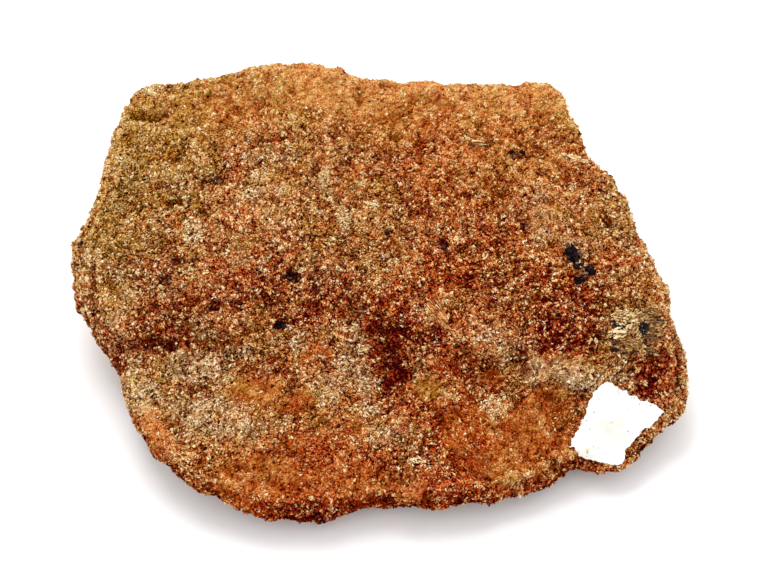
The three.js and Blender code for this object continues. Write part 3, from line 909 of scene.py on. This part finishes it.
def grain_pieces(body, fields, crystals):
    """The grains that stand on the body, in one piece for each mineral."""
    draw = np.random.default_rng(SEEDS["grains"])
    granules = granule_seeds(body, fields)
    places, outward, found = grain_spots(body, fields, draw)
    count = len(places)
    half = GRAIN_HALF_LENGTH * np.exp(draw.normal(scale=GRAIN_SPREAD, size=count))
    half = np.clip(half * (1 - CRUST_GRAIN_SHRINK * found["crust"]), *GRAIN_LIMITS)
    stands = draw.uniform(*GRAIN_STANDS, count)
    owner, inward = cell_at(crystals["tree"], places)
    crystal = {name: crystals[name][owner] for name in ("middle", "heading", "lean", "tone", "hue", "grey")}
    along = lying_axes(outward, crystal["heading"])[:, :, 0]
    offset = ((places - crystal["middle"]) * along).sum(1)
    holder, middle = cell_at(granules["tree"], places - GRANULE_STRETCH * offset[:, None] * along)
    granule = {name: granules[name][holder] for name in ("tone", "hue", "grey")}
    tone = grain_tones(found, stands, crystal, inward, granule, middle, draw)
    bulge = GRANULE_BULGE * (1 - EVEN_FLATNESS * found["even"]) * (np.sqrt(middle) - GRANULE_SUNK)
    places = places + outward * (half * stands + bulge)[:, None]
    facing = outward + CRYSTAL_LEAN * crystal["lean"] + GRAIN_LEAN * draw.normal(size=outward.shape)
    axes = lying_axes(facing, crystal["heading"] + GRAIN_TURN * draw.normal(size=outward.shape))
    hue = found["hue"] + HUE_SPREAD["crystal"] * crystal["hue"] + HUE_SPREAD["granule"] * granule["hue"]
    hue += HUE_SPREAD["grain"] * draw.normal(size=count)
    grey = found["grey"] + GREY_SPREAD["crystal"] * crystal["grey"] + GREY_SPREAD["granule"] * granule["grey"]
    values = {**tints(hue, grey), "tone": np.clip(tone, 0, 1)}
    shape = shard_shape()
    pieces = {}
    lowest = LOWEST_TONE
    for name, highest in MINERALS.items():
        mine = (tone >= lowest) & (tone < highest)
        sizes = half[mine, None] * draw.uniform(*GRAIN_SIDES, (mine.sum(), 3))
        own = {field: value[mine] for field, value in values.items()}
        pieces[name] = joined_piece(
            f"{name}_grains", shape, places[mine], axes[mine], sizes, own, GRAIN_UNEVEN, draw
        )
        lowest = highest
    return pieces


def mica_flakes(body, fields):
    """Thin flakes of muscovite that lie in the surface at many angles, most of them in the pale patches."""
    draw = np.random.default_rng(SEEDS["flakes"])
    places, outward, found = surface_points(body, fields, FLAKE_TRIES, draw)
    chance = FLAKE_CHANCE + sum(share * found[kind] for kind, share in FLAKE_PATCH_CHANCE.items())
    kept = (draw.random(FLAKE_TRIES) < chance) & ~on_label(places) & (places[:, 2] > FLAKE_LOWEST)
    places, outward, _ = kept_points(places, outward, found, kept)
    count = len(places)
    radius = draw.uniform(*FLAKE_RADIUS, count)
    length = radius * draw.uniform(*FLAKE_LENGTH, count)
    sizes = np.stack([length, FLAKE_WIDTH * radius, FLAKE_THICKNESS * radius], 1)
    tilted = outward + draw.normal(scale=FLAKE_TILT, size=outward.shape)
    axes = lying_axes(tilted, draw.normal(size=outward.shape))
    places = places + outward * FLAKE_LIFT * MM
    values = {"tone": draw.random(count)}
    return joined_piece("mica_flakes", plate_shape(), places, axes, sizes, values, FLAKE_UNEVEN, draw)


# Crystals


def in_crystals(places):
    """How surely each place is taken up by a crystal, so that no grain stands there."""
    taken = np.zeros(len(places))
    for cluster in DARK_CRYSTALS + BLADES + FAN:
        heading = math.radians(cluster.heading)
        gap = places[:, :2] / MM - cluster.at
        along = gap @ (math.cos(heading), math.sin(heading)) / cluster.spread[0]
        across = gap @ (-math.sin(heading), math.cos(heading)) / cluster.spread[1]
        inside = np.hypot(along, across) < 1
        taken[inside] = np.maximum(taken[inside], cluster.bare)
    return taken


def ground_at(body, x, y):
    """The place on the rock straight above a plan point, in mm, and the way that the surface faces there."""
    _, place, facing, _ = body.ray_cast(Vector((x * MM, y * MM, ABOVE_ALL)), Vector((0, 0, -1)))
    return place, facing


def clustered_piece(name, body, clusters, shape, girth, stands, draw):
    """One piece of crystals that lie side by side in the surface, in clusters."""
    wide, high, share = girth
    places, facings, headings, sizes, tones = [], [], [], [], []
    for cluster in clusters:
        middle = math.radians(cluster.heading)
        for _ in range(cluster.count):
            angle = draw.uniform(0, 2 * math.pi)
            reach = math.sqrt(draw.random())
            along = cluster.spread[0] * reach * math.cos(angle)
            across = cluster.spread[1] * reach * math.sin(angle)
            x = cluster.at[0] + along * math.cos(middle) - across * math.sin(middle)
            y = cluster.at[1] + along * math.sin(middle) + across * math.cos(middle)
            place, facing = ground_at(body, x, y)
            facing = (facing + CRYSTAL_FACING).normalized()
            heading = middle + math.radians(draw.normal() * cluster.fan)
            places.append(place + facing * draw.uniform(*stands) * MM)
            facings.append(facing + Vector(draw.normal(scale=CRYSTAL_TILT, size=3)))
            headings.append((math.cos(heading), math.sin(heading), 0))
            half = draw.uniform(*cluster.half_length) * MM
            width = (wide + share * half) * draw.uniform(*CRYSTAL_WIDTHS)
            height = (high + share * half) * draw.uniform(*CRYSTAL_HEIGHTS)
            sizes.append((half, width, height))
            tones.append(draw.uniform(*cluster.tones))
    axes = lying_axes(np.array(facings), np.array(headings))
    values = {"tone": np.array(tones)}
    return joined_piece(name, shape, np.array(places), axes, np.array(sizes), values, CRYSTAL_UNEVEN, draw)


def dark_crystals(body):
    """Short black crystals, broken into blocks, that stand in the rock."""
    draw = np.random.default_rng(SEEDS["dark crystals"])
    shape = block_shape()
    return clustered_piece("dark_crystals", body, DARK_CRYSTALS, shape, DARK_GIRTH, DARK_STANDS, draw)


def fan_blades(body):
    """Fine orange ribs of crystal, side by side and nearly level with the rock."""
    draw = np.random.default_rng(SEEDS["fan"])
    shape = blade_shape()
    return clustered_piece("fan_blades", body, FAN, shape, FAN_GIRTH, FAN_STANDS, draw)


def crystal_blades(body):
    """Thin pale and dark blades of crystal that lie side by side in the surface, in clusters."""
    draw = np.random.default_rng(SEEDS["blades"])
    shape = blade_shape()
    return clustered_piece("crystal_blades", body, BLADES, shape, BLADE_GIRTH, BLADE_STANDS, draw)


# The label


def label_coat(body):
    """The blank label: a thin coat of paint with ragged edges that follows the rock under it."""
    piece = label_sheet()
    wrap = piece.modifiers.new("follow the rock", "SHRINKWRAP")
    wrap.target = body
    wrap.wrap_method = "PROJECT"
    wrap.use_project_z = True
    wrap.use_negative_direction = True
    wrap.use_positive_direction = False
    wrap.offset = LABEL_OFFSET
    apply_modifiers(piece)
    trim_label(piece)
    smooth = piece.modifiers.new("brushed even", "SMOOTH")
    smooth.iterations = LABEL_ROUNDS
    coat = piece.modifiers.new("coat", "SOLIDIFY")
    coat.thickness = LABEL_THICKNESS
    coat.offset = -1
    apply_modifiers(piece)
    bpy.ops.object.transform_apply(location=True, rotation=True, scale=True)
    bpy.ops.object.shade_smooth()
    return piece


def label_sheet():
    """A fine flat sheet above the label's place, cut to its ragged outline."""
    turn = Vector((0, 0, 1)).rotation_difference(LABEL_FACING)
    bpy.ops.mesh.primitive_grid_add(
        x_subdivisions=LABEL_STEPS,
        y_subdivisions=LABEL_STEPS,
        size=LABEL_SPAN,
        location=LABEL_MIDDLE + LABEL_LIFT * LABEL_FACING,
        rotation=turn.to_euler(),
    )
    piece = bpy.context.active_object
    piece.name = "label_coat"
    bpy.ops.object.mode_set(mode="EDIT")

    def outside(place):
        there = LABEL_MIDDLE + turn @ place
        ragged = Vector()
        for size, amount in LABEL_RAGGED:
            ragged += noise.noise_vector(there / size) * amount
        ragged *= 1 if there.y > LABEL_TIP else LABEL_TIP_RAGGED
        plan = np.array([[there.x / MM + ragged.x, there.y / MM + ragged.y]])
        return not inside_outline(plan, LABEL_OUTLINE)[0]

    select_corners(outside)
    bpy.ops.mesh.delete(type="VERT")
    bpy.ops.object.mode_set(mode="OBJECT")
    return piece


def trim_label(piece):
    """Takes away what missed the rock or hangs over its edge."""
    lowest, highest = LABEL_FALL
    bpy.ops.object.mode_set(mode="EDIT")
    select_corners(lambda place: place.z > highest or place.z < lowest)
    bpy.ops.mesh.delete(type="VERT")
    bpy.ops.mesh.select_all(action="DESELECT")
    bpy.ops.object.mode_set(mode="OBJECT")
    for face in piece.data.polygons:
        face.select = face.normal.z < LABEL_STEEPEST
    bpy.ops.object.mode_set(mode="EDIT")
    bpy.ops.mesh.delete(type="FACE")
    bpy.ops.object.mode_set(mode="OBJECT")


def label_specks(coat):
    """Crumbs of rock on the label, most of them near its edge."""
    draw = np.random.default_rng(SEEDS["specks"])
    centres = numbers(coat.data.polygons, "center", 3)
    outward = numbers(coat.data.polygons, "normal", 3)
    faces_out = outward @ np.array(LABEL_FACING) > SPECK_FACING
    centres, outward = centres[faces_out], outward[faces_out]
    edge, _ = distance_to_line(centres[:, :2] / MM, LABEL_OUTLINE + LABEL_OUTLINE[:1])
    chance = SPECK_CHANCE + SPECK_EDGE_CHANCE * np.exp(-edge / SPECK_EDGE)
    kept = draw.random(len(centres)) < chance
    centres, outward = centres[kept], outward[kept]
    count = len(centres)
    sizes = draw.uniform(*SPECK_HALF, (count, 1)) * MM * draw.uniform(*SPECK_SIDES, (count, 3))
    tilted = outward + draw.normal(scale=SPECK_TILT, size=outward.shape)
    axes = lying_axes(tilted, draw.normal(size=outward.shape))
    tone = draw.uniform(*SPECK_TONES, count)
    values = {"tone": tone, **tints(draw.normal(size=count), draw.normal(size=count))}
    return joined_piece("label_specks", shard_shape(), centres, axes, sizes, values, GRAIN_UNEVEN, draw)


# Finishes

# Colours by tone, as screen colours from 0 to 255
STONE_TONES = {
    "plain": [
        (0.0, (48, 4, 6)), (0.14, (92, 22, 6)), (0.28, (131, 50, 10)), (0.42, (165, 87, 34)),
        (0.56, (192, 122, 65)), (0.7, (214, 155, 93)), (0.85, (232, 186, 126)), (1.0, (245, 213, 158)),
    ],
    "red": [
        (0.0, (44, 0, 12)), (0.14, (94, 4, 10)), (0.28, (142, 28, 8)), (0.42, (180, 64, 20)),
        (0.56, (206, 104, 47)), (0.7, (221, 147, 76)), (0.85, (234, 184, 116)), (1.0, (244, 212, 154)),
    ],
    "olive": [
        (0.0, (54, 18, 0)), (0.14, (88, 40, 0)), (0.28, (121, 70, 8)), (0.42, (153, 103, 28)),
        (0.56, (181, 136, 57)), (0.7, (206, 166, 90)), (0.85, (229, 195, 128)), (1.0, (245, 219, 164)),
    ],
    "pale": [
        (0.0, (48, 16, 10)), (0.14, (80, 38, 18)), (0.28, (112, 68, 36)), (0.42, (146, 104, 66)),
        (0.56, (174, 139, 98)), (0.7, (199, 170, 130)), (0.85, (224, 204, 168)), (1.0, (248, 237, 212)),
    ],
    "orange": [
        (0.0, (68, 6, 0)), (0.14, (104, 26, 0)), (0.28, (140, 54, 2)), (0.42, (174, 88, 22)),
        (0.56, (202, 122, 50)), (0.7, (224, 154, 82)), (0.85, (242, 190, 124)), (1.0, (255, 226, 176)),
    ],
}
BLADE_TONES = [
    (0.0, (6, 5, 12)), (0.22, (40, 30, 34)), (0.45, (164, 108, 54)), (0.7, (220, 178, 108)),
    (1.0, (252, 238, 198)),
]
FAN_TONES = [(0.0, (92, 28, 6)), (0.35, (160, 76, 22)), (0.65, (216, 140, 66)), (1.0, (255, 218, 154))]
# The dark crystal runs from black through rusty brown; its palest blocks are painted glints
DARK_CRYSTAL_AND_GLINT_TONES = [
    (0.0, (3, 2, 7)), (0.45, (14, 8, 16)), (0.7, (40, 18, 16)), (0.88, (78, 42, 24)), (1.0, (140, 100, 78)),
]
MICA_TONES = [(0.0, (190, 142, 88)), (0.6, (222, 186, 136)), (1.0, (246, 228, 194))]
PAINT_TONES = [(0.3, (216, 213, 204)), (0.55, (234, 233, 228))]

# Stain that clouds each finish: how fine it is, its detail and how far it shifts the tone
GRAIN_STAIN = {"scale": 3000.0, "detail": 3.0, "amount": 1.1}
DARK_STAIN = {"scale": 1800.0, "detail": 3.0, "amount": 0.7}
BLADE_STAIN = {"scale": 2200.0, "detail": 2.0, "amount": 0.4}

# Roughness and shine of each finish
GRAIN_GLOSS = {
    "dark": (0.6, 0.0),
    "rust": (0.6, 0.01),
    "amber": (0.6, 0.03),
    "tan": (0.55, 0.06),
    "buff": (0.5, 0.1),
}
DARK_GLOSS = (0.25, 0.05)
BLADE_GLOSS = (0.45, 0.12)
MICA_GLOSS = (0.35, 0.2)
GROUND_GLOSS = (0.85, 0.0)
PAINT_GLOSS = (0.6, 0.3)
FLOOR_GLOSS = (0.9, 0.5)

# The ground between the grains: how fine its cemented grains and its grit are, and how far they stand out
GROUND_CELLS = 3600.0
GROUND_FINE = {"scale": 2600.0, "detail": 4.0}
GROUND_BUMP = {"Strength": 0.8, "Distance": 0.3 * MM}

# The label's paint: how broad its creamy clouds are, how fine its brush marks are, and how far they stand out
PAINT_CLOUD = {"scale": 160.0, "detail": 4.0}
PAINT_GRAIN = {"scale": 1500.0, "detail": 3.0}
PAINT_BUMP = {"Strength": 0.25, "Distance": 0.2 * MM}


def srgb(colour):
    """The linear colour of a screen colour given as 0 to 255."""
    return tuple((c / 255 / 12.92) if c <= 10 else ((c / 255 + 0.055) / 1.055) ** 2.4 for c in colour)


def new_material(name, gloss):
    """A material with its shader's roughness and shine set."""
    material = bpy.data.materials.new(name)
    material.use_nodes = True
    shader = material.node_tree.nodes["Principled BSDF"]
    roughness, shine = gloss
    shader.inputs["Roughness"].default_value = roughness
    shader.inputs["Specular IOR Level"].default_value = shine
    return material, material.node_tree, shader


def add_node(tree, kind, inputs=(), **settings):
    node = tree.nodes.new(kind)
    for name, value in settings.items():
        setattr(node, name, value)
    for name, value in dict(inputs).items():
        if isinstance(value, bpy.types.NodeSocket):
            tree.links.new(value, node.inputs[name])
        else:
            node.inputs[name].default_value = value
    return node


def add_attribute(tree, name):
    return add_node(tree, "ShaderNodeAttribute", attribute_name=name).outputs["Fac"]


def add_math(tree, operation, first, second):
    return add_node(tree, "ShaderNodeMath", {0: first, 1: second}, operation=operation).outputs[0]


def add_place(tree):
    return add_node(tree, "ShaderNodeTexCoord").outputs["Object"]


def add_noise(tree, scale, detail):
    inputs = {"Vector": add_place(tree), "Scale": scale, "Detail": detail}
    return add_node(tree, "ShaderNodeTexNoise", inputs).outputs["Fac"]


def add_mix(tree, amount, first, second):
    inputs = {0: amount, 6: first, 7: second}
    return add_node(tree, "ShaderNodeMix", inputs, data_type="RGBA").outputs[2]


def add_ramp(tree, amount, stops):
    ramp = add_node(tree, "ShaderNodeValToRGB", {"Fac": amount})
    elements = ramp.color_ramp.elements
    while len(elements) < len(stops):
        elements.new(0.5)
    for element, (place, colour) in zip(elements, stops):
        element.position = place
        element.color = (*srgb(colour), 1)
    return ramp.outputs["Color"]


def add_bump(tree, shader, height, amount):
    bump = add_node(tree, "ShaderNodeBump", {"Height": height, **amount})
    tree.links.new(bump.outputs["Normal"], shader.inputs["Normal"])


def stained_tone(tree, stain):
    """The tone that each copy carries, clouded by stain."""
    cloud = add_math(tree, "SUBTRACT", add_noise(tree, stain["scale"], stain["detail"]), 0.5)
    shift = add_math(tree, "MULTIPLY", cloud, stain["amount"])
    return add_math(tree, "ADD", add_attribute(tree, "tone"), shift)


def stone_colour(tree, tone):
    """The rock's colour for a tone, in the tint of the patch that it is in."""
    colour = add_ramp(tree, tone, STONE_TONES["plain"])
    for kind in TINTS:
        colour = add_mix(tree, add_attribute(tree, kind), colour, add_ramp(tree, tone, STONE_TONES[kind]))
    return colour


def grain_material(name):
    """A mineral's finish: each grain has a tone of its own, clouded by stain."""
    material, tree, shader = new_material(f"{name} grain", GRAIN_GLOSS[name])
    colour = stone_colour(tree, stained_tone(tree, GRAIN_STAIN))
    tree.links.new(colour, shader.inputs["Base Color"])
    return material


def dark_crystal_material():
    """Blue-black glassy crystal with a rusty bloom, and paler blocks that are painted glints."""
    material, tree, shader = new_material("dark crystal", DARK_GLOSS)
    colour = add_ramp(tree, stained_tone(tree, DARK_STAIN), DARK_CRYSTAL_AND_GLINT_TONES)
    tree.links.new(colour, shader.inputs["Base Color"])
    return material


def blade_material(name, tones):
    """Bladed crystal, from dark to pale by the tone of each blade."""
    material, tree, shader = new_material(name, BLADE_GLOSS)
    colour = add_ramp(tree, stained_tone(tree, BLADE_STAIN), tones)
    tree.links.new(colour, shader.inputs["Base Color"])
    return material


def mica_material():
    """Silvery brown mica, a little shiny."""
    material, tree, shader = new_material("muscovite", MICA_GLOSS)
    colour = add_ramp(tree, add_attribute(tree, "tone"), MICA_TONES)
    tree.links.new(colour, shader.inputs["Base Color"])
    return material


def body_material():
    """The ground between the grains: cemented grains in the tints of the patches, darker cell by cell as
    painted shade in the gaps.
    """
    material, tree, shader = new_material("weathered ground", GROUND_GLOSS)
    cells = add_node(tree, "ShaderNodeTexVoronoi", {"Vector": add_place(tree), "Scale": GROUND_CELLS})
    cell = add_node(tree, "ShaderNodeSeparateColor", {"Color": cells.outputs["Color"]}).outputs[0]
    # Painted shade: each cell is darkened by up to the gap's amount
    gap_shade = add_math(tree, "MULTIPLY", add_math(tree, "SUBTRACT", cell, 1.0), add_attribute(tree, "gap"))
    colour = stone_colour(tree, add_math(tree, "ADD", add_attribute(tree, "tone"), gap_shade))
    tree.links.new(colour, shader.inputs["Base Color"])
    height = add_math(tree, "SUBTRACT", add_noise(tree, **GROUND_FINE), cells.outputs["Distance"])
    add_bump(tree, shader, height, GROUND_BUMP)
    return material


def label_material():
    """Matt white paint, a little creamy and thin in places."""
    material, tree, shader = new_material("label paint", PAINT_GLOSS)
    colour = add_ramp(tree, add_noise(tree, **PAINT_CLOUD), PAINT_TONES)
    tree.links.new(colour, shader.inputs["Base Color"])
    add_bump(tree, shader, add_noise(tree, **PAINT_GRAIN), PAINT_BUMP)
    return material


def floor_material():
    material, _, shader = new_material("pale floor", FLOOR_GLOSS)
    shader.inputs["Base Color"].default_value = FLOOR_COLOUR
    return material


# The stage


def add_floor():
    bpy.ops.mesh.primitive_plane_add(size=FLOOR_SIDE, location=(0, 0, FLOOR_LEVEL))
    floor = bpy.context.active_object
    floor.name = "floor"
    floor.data.materials.append(floor_material())


def add_light():
    """White light from all round, and a soft lamp behind and above the rock."""
    world = bpy.data.worlds.new("studio")
    bpy.context.scene.world = world
    world.use_nodes = True
    sky = world.node_tree.nodes["Background"]
    sky.inputs["Color"].default_value = SKY_COLOUR
    sky.inputs["Strength"].default_value = SKY_STRENGTH
    lamp = bpy.data.lights.new("key", "AREA")
    lamp.energy = LAMP_POWER
    lamp.size = LAMP_SIDE
    key = add_piece("key", lamp)
    key.location = LAMP_PLACE
    key.rotation_euler = (LAMP_AIM - LAMP_PLACE).to_track_quat("-Z", "Y").to_euler()


def add_camera():
    lens = bpy.data.cameras.new("view")
    lens.lens = LENS_MM
    lens.clip_start = NEAREST_SEEN
    camera = add_piece("view", lens)
    ahead = Vector((0, math.cos(VIEW_ELEVATION), -math.sin(VIEW_ELEVATION)))
    camera.location = AIM - VIEW_DISTANCE * ahead
    camera.rotation_euler = (math.pi / 2 - VIEW_ELEVATION, 0, 0)
    bpy.context.scene.camera = camera
    bpy.context.scene.view_settings.view_transform = "Standard"


noise.seed_set(SEEDS["drift"])
body, crystals, facing = rock_body()
fields = surface_fields(body, facing)
shown = {"tone": fields["tone"], "gap": fields["gap"], **tints(fields["hue"], fields["grey"])}
for field, values in shown.items():
    body.data.attributes.new(field, "FLOAT", "POINT").data.foreach_set("value", values)
finish_piece(body, body_material(), ROCK_SLOT, "rock")
for name, piece in grain_pieces(body, fields, crystals).items():
    finish_piece(piece, grain_material(name), ROCK_SLOT)
finish_piece(mica_flakes(body, fields), mica_material(), ROCK_SLOT)
finish_piece(dark_crystals(body), dark_crystal_material(), ROCK_SLOT)
finish_piece(crystal_blades(body), blade_material("crystal blade", BLADE_TONES), ROCK_SLOT)
finish_piece(fan_blades(body), blade_material("orange rib", FAN_TONES), ROCK_SLOT)
coat = label_coat(body)
finish_piece(coat, label_material(), LABEL_SLOT, "label")
finish_piece(label_specks(coat), grain_material("dark"), ROCK_SLOT)
add_floor()
add_light()
add_camera()
